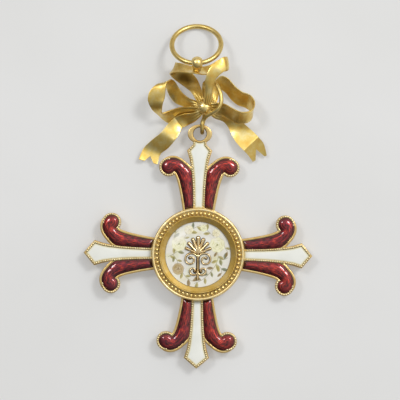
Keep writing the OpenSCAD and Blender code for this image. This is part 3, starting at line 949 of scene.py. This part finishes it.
# Painted highlight: two soft white patches stand for the shine of the glaze over the upper roses.
mark(-3.3, 3.3, 42, 5.6, 2.8, GLAZE, 0.7, soft=1.3)
mark(3.0, 2.9, -50, 2.8, 1.0, GLAZE, 0.5, soft=0.5)
colours = disc.data.color_attributes.new("paint", "FLOAT_COLOR", "POINT")
colours.data.foreach_set("color", np.hstack([paint, np.ones((len(paint), 1))]).astype(np.float32).ravel())

PAINTED_ENAMEL, tree, shader = new_material("painted_enamel", Roughness=0.12, IOR=GLASS_IOR)
wash = add(tree, "Attribute", attribute_name="paint")
where = add(tree, "TexCoord")
pearl = add(tree, "TexNoise", {"Scale": marks_of(2), "Detail": 3}, {"Vector": (where, "Object")})
sheen = add(tree, "ValToRGB", links={"Fac": (pearl, "Fac")}, stops=[(0.35, "#F2EFEA"), (0.65, WHITE)])
layers = {FIRST: (wash, "Color"), SECOND: (sheen, "Color")}
mixed = add(tree, "Mix", {FACTOR: 1.0}, layers, **MULTIPLY)
wire(tree, shader, {"Base Color": (mixed, MIXED)})
finish(disc, PAINTED_ENAMEL, "painted_enamel", "medallion_disc")

# %% [markdown]
# The flourish in the middle is chased gold, laid on the enamel. Each petal and volute is a stroke with a round
# back of its own, and shade is painted darker into the grooves between them. A petal is given by its two ends
# and its half width at each. A volute has a centre, two radii and the angles it turns through.

# %% Flourish
PETALS = [
    (0, 0.2, 0, 3.0, 0.2, 0.4), (0, 0.2, 0.95, 2.7, 0.18, 0.35), (0, 0.2, 1.7, 2.0, 0.16, 0.32),
    (0, 0.2, 2.15, 1.1, 0.14, 0.28), (0, -3.2, 0, -4.6, 0.3, 0.14), (0, 0.2, 0, -3.4, 0.16, 0.18),
]
VOLUTES = [(1.3, -0.95, 1.3, 0.35, 155, -300), (0.85, -3.0, 0.85, 0.28, 200, 560)]
VOLUTE_R = 0.18
VOLUTE_STEPS = 40
FLOURISH_CELL = 0.07
FLOURISH_BASE = 0.12
FLOURISH_RISE = 0.32
GROOVE = 0.5
GROOVE_FADE = 0.4

strokes = [([(x0, y0), (x1, y1)], (r0, r1)) for x0, y0, x1, y1, r0, r1 in PETALS]
for x, y, r0, r1, a0, a1 in VOLUTES:
    turns = np.radians(np.linspace(a0, a1, VOLUTE_STEPS))
    radii = np.linspace(r0, r1, VOLUTE_STEPS)
    curl = np.stack([x + radii * np.cos(turns), y + radii * np.sin(turns)], 1)
    strokes.append((curl, [VOLUTE_R] * VOLUTE_STEPS))

flourish = copy_of("ornament", "flourish")
divide(flourish, FLOURISH_CELL)
co = coordinates(flourish)
right_half = np.stack([np.abs(co[:, 0]), co[:, 1]], 1)
back = np.zeros(len(co))
for points, radii in strokes:
    points, radii = np.array(points, float), np.array(radii, float)
    gap, i, t = nearest(right_half, np.stack([points[:-1], points[1:]], 1))
    back = np.maximum(back, 1 - (gap / (radii[i] + t * (radii[i + 1] - radii[i]))) ** 2)
upper = co[:, 2] > co[:, 2].min() + NEAR
co[upper, 2] = DISC_Z + FLOURISH_BASE + FLOURISH_RISE * np.sqrt(back[upper])
place_points(flourish, co)
# Painted shade: darker where the strokes' backs sink low, in the grooves between them.
mark_points(flourish, "grime", (GROOVE - back) / GROOVE_FADE)
finish(flourish, CHASED_GOLD, "ornament_gold", "ornament", smooth=60)

# %% [markdown]
# The bow was cut from thin rolled gold, folded by hand and soldered at the knot. A table gives each ribbon's
# way through its folds. A row is one cut across the ribbon: x, y and z of one edge, then x, y and z of the
# other. A swallowtail's notch is a triangle seen from above, its point first.

# %% Ways of the ribbons
CROWN = [
    [-0.1, 27.4, 2.9, 0.7, 27.5, 2.8], [-0.8, 28.3, 3.1, 0.6, 28.4, 3.0], [-1.8, 29.8, 2.5, 0.3, 29.6, 2.5],
    [-2.9, 30.7, 1.7, -0.1, 30.9, 2.0], [-4.0, 31.5, 1.2, -0.8, 32.4, 1.6], [-4.9, 32.2, 1.1, -2.2, 33.8, 1.4],
    [-5.5, 32.7, 1.8, -3.8, 34.7, 1.8], [-5.7, 33.0, 3.1, -4.6, 35.1, 2.8], [-5.3, 33.1, 4.7, -4.3, 35.0, 3.8],
    [-3.8, 33.1, 6.0, -3.3, 34.8, 4.1], [-2.0, 33.0, 6.4, -1.9, 34.4, 4.0], [-0.7, 32.9, 6.4, -0.7, 34.3, 4.0],
    [0.5, 32.8, 5.5, 0.6, 34.4, 3.4], [1.7, 33.0, 4.0, 1.9, 34.9, 2.7], [3.1, 33.4, 3.2, 3.1, 35.7, 2.6],
    [4.4, 33.6, 3.1, 4.3, 36.1, 3.0], [5.0, 33.8, 4.0, 4.7, 36.2, 4.1], [4.8, 33.8, 4.9, 3.9, 36.0, 5.2],
    [4.0, 33.3, 5.3, 2.5, 34.9, 5.5], [3.3, 32.7, 5.3, 1.6, 33.9, 5.6], [2.7, 32.0, 5.2, 1.0, 32.6, 5.5],
    [2.4, 31.0, 4.9, 0.8, 31.3, 5.2], [2.1, 29.8, 4.5, 0.9, 30.0, 4.7], [2.0, 28.6, 4.1, 0.7, 28.6, 4.3],
    [1.6, 27.4, 3.9, 0.7, 27.4, 3.9],
]
RIGHT = [
    [0.9, 26.9, 2.7, 1.5, 26.7, 2.5], [1.4, 27.6, 2.6, 2.6, 27.3, 2.3], [1.9, 28.6, 2.3, 3.1, 28.3, 1.9],
    [2.1, 30.0, 2.2, 3.3, 29.6, 1.4], [2.5, 31.6, 2.4, 3.4, 30.4, 1.1], [3.7, 32.8, 2.6, 4.0, 30.3, 0.9],
    [5.1, 32.3, 2.5, 4.8, 29.7, 0.8], [6.3, 31.0, 2.3, 5.6, 28.7, 0.6], [7.6, 30.0, 2.2, 6.8, 27.7, 0.5],
    [8.8, 29.6, 2.3, 8.2, 27.2, 0.7], [9.5, 29.0, 2.9, 9.1, 26.6, 1.3], [9.9, 28.0, 4.0, 9.6, 25.8, 2.2],
    [9.7, 26.9, 5.0, 9.3, 24.8, 3.0], [8.8, 26.2, 5.6, 8.4, 24.2, 3.5], [7.4, 26.1, 5.7, 6.7, 24.1, 3.5],
    [6.0, 26.7, 5.2, 5.5, 24.8, 3.2], [4.6, 27.5, 4.5, 4.1, 25.7, 3.0], [3.2, 27.8, 3.9, 2.9, 26.2, 2.8],
    [1.6, 27.6, 3.5, 1.4, 26.6, 2.8],
]
LEFT = [
    [0.4, 27.0, 2.4, 0.4, 27.6, 2.5], [-0.3, 27.1, 2.2, -0.3, 28.0, 2.6], [-1.9, 26.9, 1.6, -2.0, 28.6, 2.5],
    [-3.4, 27.3, 1.0, -3.1, 29.4, 2.1], [-4.7, 27.9, 0.6, -3.8, 30.2, 1.9], [-5.6, 29.0, 0.5, -4.3, 31.0, 2.0],
    [-6.2, 30.2, 1.0, -4.8, 31.7, 2.5], [-6.8, 31.0, 2.6, -5.3, 31.9, 3.6], [-7.6, 31.1, 4.1, -5.9, 31.6, 4.8],
    [-8.6, 30.5, 4.5, -6.3, 30.9, 5.0], [-9.4, 29.4, 4.5, -6.4, 29.8, 5.0], [-9.6, 28.2, 4.4, -6.5, 28.6, 4.9],
    [-9.3, 27.2, 4.1, -6.8, 27.6, 4.8], [-8.7, 26.3, 3.3, -7.0, 26.7, 4.5], [-7.7, 25.5, 2.4, -7.1, 25.9, 4.2],
    [-6.8, 24.7, 1.2, -6.7, 25.8, 3.8], [-5.7, 24.1, 0.9, -5.5, 26.3, 3.3], [-3.7, 24.4, 1.2, -3.6, 26.9, 3.1],
    [-1.8, 25.3, 2.0, -1.8, 27.0, 3.3], [0.1, 26.1, 2.8, 0.1, 26.9, 3.4],
]
TAIL_LEFT = [
    [0.4, 26.5, 3.3, 0.8, 26.1, 2.8], [-1.5, 25.9, 3.1, -0.8, 24.5, 2.1], [-3.1, 25.7, 2.8, -2.1, 23.8, 1.4],
    [-4.7, 25.1, 2.2, -3.3, 23.2, 1.6], [-6.1, 23.6, 2.1, -3.9, 21.9, 2.2],
    [-7.2, 22.2, 2.2, -4.6, 20.8, 2.4], [-8.8, 20.9, 1.6, -5.8, 19.4, 1.7],
    [-10.3, 19.4, 0.9, -7.2, 18.3, 1.0], [-11.2, 17.3, 1.2, -7.7, 16.4, 1.2],
]
TAIL_RIGHT = [
    [1.2, 26.3, 2.7, 1.5, 26.8, 3.0], [2.6, 25.1, 1.7, 3.3, 26.1, 2.4], [4.1, 24.6, 1.2, 4.7, 25.6, 2.2],
    [5.0, 23.8, 0.9, 6.1, 25.1, 1.9], [5.7, 22.5, 1.1, 7.6, 24.5, 1.6], [6.4, 21.1, 1.5, 9.0, 23.4, 1.5],
    [7.2, 20.1, 1.8, 9.9, 22.6, 1.6], [8.1, 19.2, 2.0, 10.8, 21.7, 1.8], [9.0, 18.3, 1.3, 11.8, 20.5, 1.2],
    [9.8, 17.2, 0.7, 12.4, 18.4, 0.8],
]
LEFT_FOLD = 3
RIGHT_FOLD = 7
NOTCH_LEFT = [(-9.1, 17.9), (-10.9, 16.4), (-8.0, 15.7)]
NOTCH_RIGHT = [(10.4, 19.5), (10.3, 16.4), (12.6, 17.7)]
print("rows of the crown:", len(CROWN))

# %% [markdown]
# Each ribbon is a grid with a slight crown across, and pleats where it is drawn into the knot. Shade is
# painted into the pleats, and a few soft patches of painted shade darken the deepest folds and a few
# faces. The grid is then thickened, and its edges are rounded.

# %% Ribbons of the bow
STEPS = 6
ACROSS = 12
RIBBON_T = 0.23
RIBBON_EDGE = 0.06
PLEATS = 3
PLEAT_DEPTH = 0.14
PLEAT_REACH = 1.8
KNOT_SOIL_REACH = 2.4
# Patches of painted shade, as x, y, z, reach, strength: in the crown's fold and on the crown and left loop.
CROWN_STAINS = [(-3.3, 32.4, 1.4, 1.7, 1.0), (-2.2, 30.9, 1.9, 1.5, 0.6), (-4.6, 34.0, 4.5, 1.6, 0.35)]
LEFT_STAINS = [(-8.0, 29.3, 4.6, 2.6, 0.4)]


def folded(table, folds, near=0.14):
    """A table with a row close before and after each sharp fold, so that the ribbon turns there at once."""
    rows = []
    for i, row in enumerate(np.array(table, float)):
        beside = [row + (np.array(table[k]) - row) * near for k in (i - 1, i + 1)] if i in folds else []
        rows += [beside[0], row, beside[1]] if beside else [row]
    return rows


def fade(distance, reach):
    """One at no distance, and soon nothing past a reach."""
    return np.exp(-((distance / reach) ** 2))


def ribbon(name, table, folds=(), crown=0.08, pleat_end=0.0, stains=()):
    """A folded ribbon with pleats and painted shade at the knot. Each shade patch: place, reach, strength."""
    rows = smooth_rows(folded(table, folds), STEPS)
    n = len(rows)
    bpy.ops.mesh.primitive_grid_add(x_subdivisions=ACROSS, y_subdivisions=n - 1, size=1)
    piece = made(name)
    a, b = rows[:, :3], rows[:, 3:]
    middle = (a + b) / 2
    out = np.cross(b - a, np.gradient(middle, axis=0))
    out /= np.linalg.norm(out, axis=1)[:, None]
    run = run_of(middle)
    rest = run[-1] - run
    u = np.linspace(0, 1, ACROSS + 1)[None, :, None]
    waves = np.cos(2 * PLEATS * math.pi * u)
    pleats = PLEAT_DEPTH * fade(run, PLEAT_REACH) + pleat_end * fade(rest, PLEAT_REACH)
    lift = crown * (1 - (2 * u - 1) ** 2) + pleats[:, None, None] * waves
    place_points(piece, a[:, None] * (1 - u) + b[:, None] * u + out[:, None] * lift)
    # Painted shade: darker near the knot, most in the valleys of the pleats, and under each shade patch.
    near_knot = fade(run, KNOT_SOIL_REACH) + (pleat_end > 0) * fade(rest, KNOT_SOIL_REACH)
    valley = 0.5 - 0.5 * waves[0, :, 0]
    grime = (near_knot[:, None] * (0.1 + 0.5 * valley)).ravel()
    for *spot, reach, strength in stains:
        grime += strength * fade(np.linalg.norm(coordinates(piece) - spot, axis=1), reach)
    mark_points(piece, "grime", grime)
    modify(piece, "SOLIDIFY", thickness=RIBBON_T, offset=0)
    return piece


def notch(piece, corners):
    """Cuts the V of a swallowtail."""
    bpy.ops.mesh.primitive_circle_add(vertices=3, fill_type="NGON")
    cutter = bpy.context.object
    place_points(cutter, [(x, y, -1) for x, y in corners])
    edit(cutter, action="SELECT")
    bpy.ops.mesh.extrude_region_move(TRANSFORM_OT_translate={"value": (0, 0, 6)})
    close_outwards()
    modify(piece, "BOOLEAN", object=cutter, operation="DIFFERENCE", solver="EXACT")
    bpy.data.objects.remove(cutter)


crown_ribbon = ribbon("crown_ribbon", CROWN, crown=0.16, pleat_end=0.1, stains=CROWN_STAINS)
right_loop = ribbon("right_loop", RIGHT, pleat_end=0.1)
left_loop = ribbon("left_loop", LEFT, pleat_end=0.1, stains=LEFT_STAINS)
left_tail = ribbon("left_tail", TAIL_LEFT, folds=(LEFT_FOLD,))
right_tail = ribbon("right_tail", TAIL_RIGHT, folds=(RIGHT_FOLD,))
notch(left_tail, NOTCH_LEFT)
notch(right_tail, NOTCH_RIGHT)
for piece in (crown_ribbon, right_loop, left_loop, left_tail, right_tail):
    modify(piece, "BEVEL", width=RIBBON_EDGE, segments=2, limit_method="ANGLE", angle_limit=SHARP)
    weld(piece)
    finish(piece, SATIN_GOLD, "bow_gold", "bow", smooth=50)

# %% [markdown]
# The knot is a small pad of gathered metal with fine pleats: a ball is flattened, and its sides are pressed in
# and out round its middle.

# %% Knot
KNOT_AT = (0.77, 27, 3.15)
KNOT_R = 1.35
KNOT_SHAPE = (1.0, 0.96, 0.78)
KNOT_PLEATS = 11
KNOT_PLEAT_DEPTH = 0.05

bpy.ops.mesh.primitive_uv_sphere_add(segments=72, ring_count=36, radius=KNOT_R)
knot = made("knot")
reach = coordinates(knot)
turn = np.arctan2(reach[:, 1], reach[:, 0])
out = np.clip((np.hypot(reach[:, 0], reach[:, 1]) / KNOT_R - 0.45) / 0.4, 0, 1)
swell = 1 + KNOT_PLEAT_DEPTH * out * np.cos(KNOT_PLEATS * turn + 0.7 * np.sin(3 * turn))
place_points(knot, KNOT_AT + reach * swell[:, None] * KNOT_SHAPE)
# The knot takes the paler gold of painted highlight.
finish(knot, BEAD_GOLD, "bow_gold", "bow", smooth=80)

# %% [markdown]
# A ball with a cross hole is soldered to the top of the bow on a short collar, and the ring runs through it.
# The ball's half section is spun round the axis of its hole.

# %% Ball eye
EYE_AT = (-0.7, 34.85, 5.93)
EYE_SEAT = (-0.7, 33.6, 5.2)
EYE_R = 1.2
EYE_HOLE_R = 0.72
COLLAR_R = 0.75
COLLAR_H = 0.7
COLLAR_EDGE = 0.12

rim = math.asin(EYE_HOLE_R / EYE_R)
arc = np.linspace(rim, math.pi - rim, 28)
section = [(EYE_AT[0] - EYE_R * math.cos(a), EYE_AT[1], EYE_AT[2] + EYE_R * math.sin(a)) for a in arc]
ball = spin(section, "ball_eye", centre=EYE_AT, axis=(1, 0, 0), steps=64)
# The ball takes the paler gold of painted highlight.
finish(ball, BEAD_GOLD, "bow_gold", "bow", smooth=35)

lean = (Vector(EYE_AT) - Vector(EYE_SEAT)).to_track_quat("Z", "Y").to_matrix().to_4x4()
bpy.ops.mesh.primitive_cylinder_add(vertices=40, radius=COLLAR_R, depth=COLLAR_H)
collar = made("collar")
collar.data.transform(Matrix.Translation((0, 0, COLLAR_H / 2)))
modify(collar, "BEVEL", width=COLLAR_EDGE, segments=3, limit_method="ANGLE")
collar.data.transform(Matrix.Translation(EYE_SEAT) @ lean)
finish(collar, WIRE_GOLD, "bow_gold", "bow")

# %% [markdown]
# The link is drawn wire, bent by hand. It passes through the eyelet, runs up behind the bow and comes down in
# front, so it is a curve through the places where it turns, with a round section.

# %% Link
LINK = [
    (0.5, 24.4, 3.1), (0.4, 23.7, 3.08), (0.4, 22.8, 2.75), (0.4, 22.35, 1.6), (0.4, 22.8, 0.75),
    (0.4, 23.7, 0.5), (0.7, 25, 0.5), (0.8, 26.5, 0.55), (0.7, 28, 0.6), (0.6, 29.5, 0.8),
    (0.6, 30.8, 1.4), (0.8, 31.5, 2.4), (1.5, 31.8, 3.3), (2.4, 31.5, 3.9), (3.0, 30.9, 4.3),
    (3.4, 30.1, 4.7), (3.7, 29.2, 4.9), (3.8, 28.2, 5), (3.7, 27.4, 5), (3.3, 26.7, 4.9),
    (2.7, 26.2, 4.6), (2.0, 25.8, 4.2), (1.3, 25.4, 3.8), (0.8, 24.9, 3.3),
]
LINK_D = 0.75

path = smooth_rows(LINK, 5, loop=True)
curve = bpy.data.curves.new("link", "CURVE")
curve.dimensions = "3D"
curve.bevel_depth = LINK_D / 2
curve.bevel_resolution = 5
spline = curve.splines.new("POLY")
spline.points.add(len(path) - 1)
spline.points.foreach_set("co", np.hstack([path, np.ones((len(path), 1))]).ravel())
spline.use_cyclic_u = True
link = bpy.data.objects.new("link", curve)
bpy.context.scene.collection.objects.link(link)
pick(link)
bpy.ops.object.convert(target="MESH")
finish(bpy.context.object, WIRE_GOLD, "wire_gold", "link_wire", smooth=60)

# %% [markdown]
# The ring was bent round a rod, so its round section is spun. It hangs from the ball and leans down to the
# surface, turned a little.

# %% Ring
RING_R = 4.5
RING_D = 0.9
RING_CLEAR = 0.02
RING_YAW = math.radians(3)

thick = RING_D / 2
section = [(RING_R + thick * math.cos(a), 0, thick * math.sin(a)) for a in np.radians(range(0, 360, 15))]
ring = spin(section, "ring", steps=128)
ring_lean = math.asin((EYE_AT[2] - thick - RING_CLEAR) / (2 * RING_R))
turn = Matrix.Rotation(RING_YAW, 4, "Z") @ Matrix.Rotation(-ring_lean, 4, "X")
ring.data.transform(Matrix.Translation(EYE_AT) @ turn @ Matrix.Translation((0, RING_R, 0)))
finish(ring, WIRE_GOLD, "wire_gold", "suspension_ring", smooth=80, body="ring")

# %% [markdown]
# The back cap is plain, as it lies hidden on the surface. Its rims are a little rounder than in the CAD.

# %% Back cap
CAP_EDGE = 0.08

cap = copy_of("back_cap", "back_plate")
modify(cap, "BEVEL", width=CAP_EDGE, segments=3, limit_method="ANGLE", angle_limit=math.radians(30))
finish(cap, TURNED_GOLD, "cross_gold", "back_cap", smooth=30)
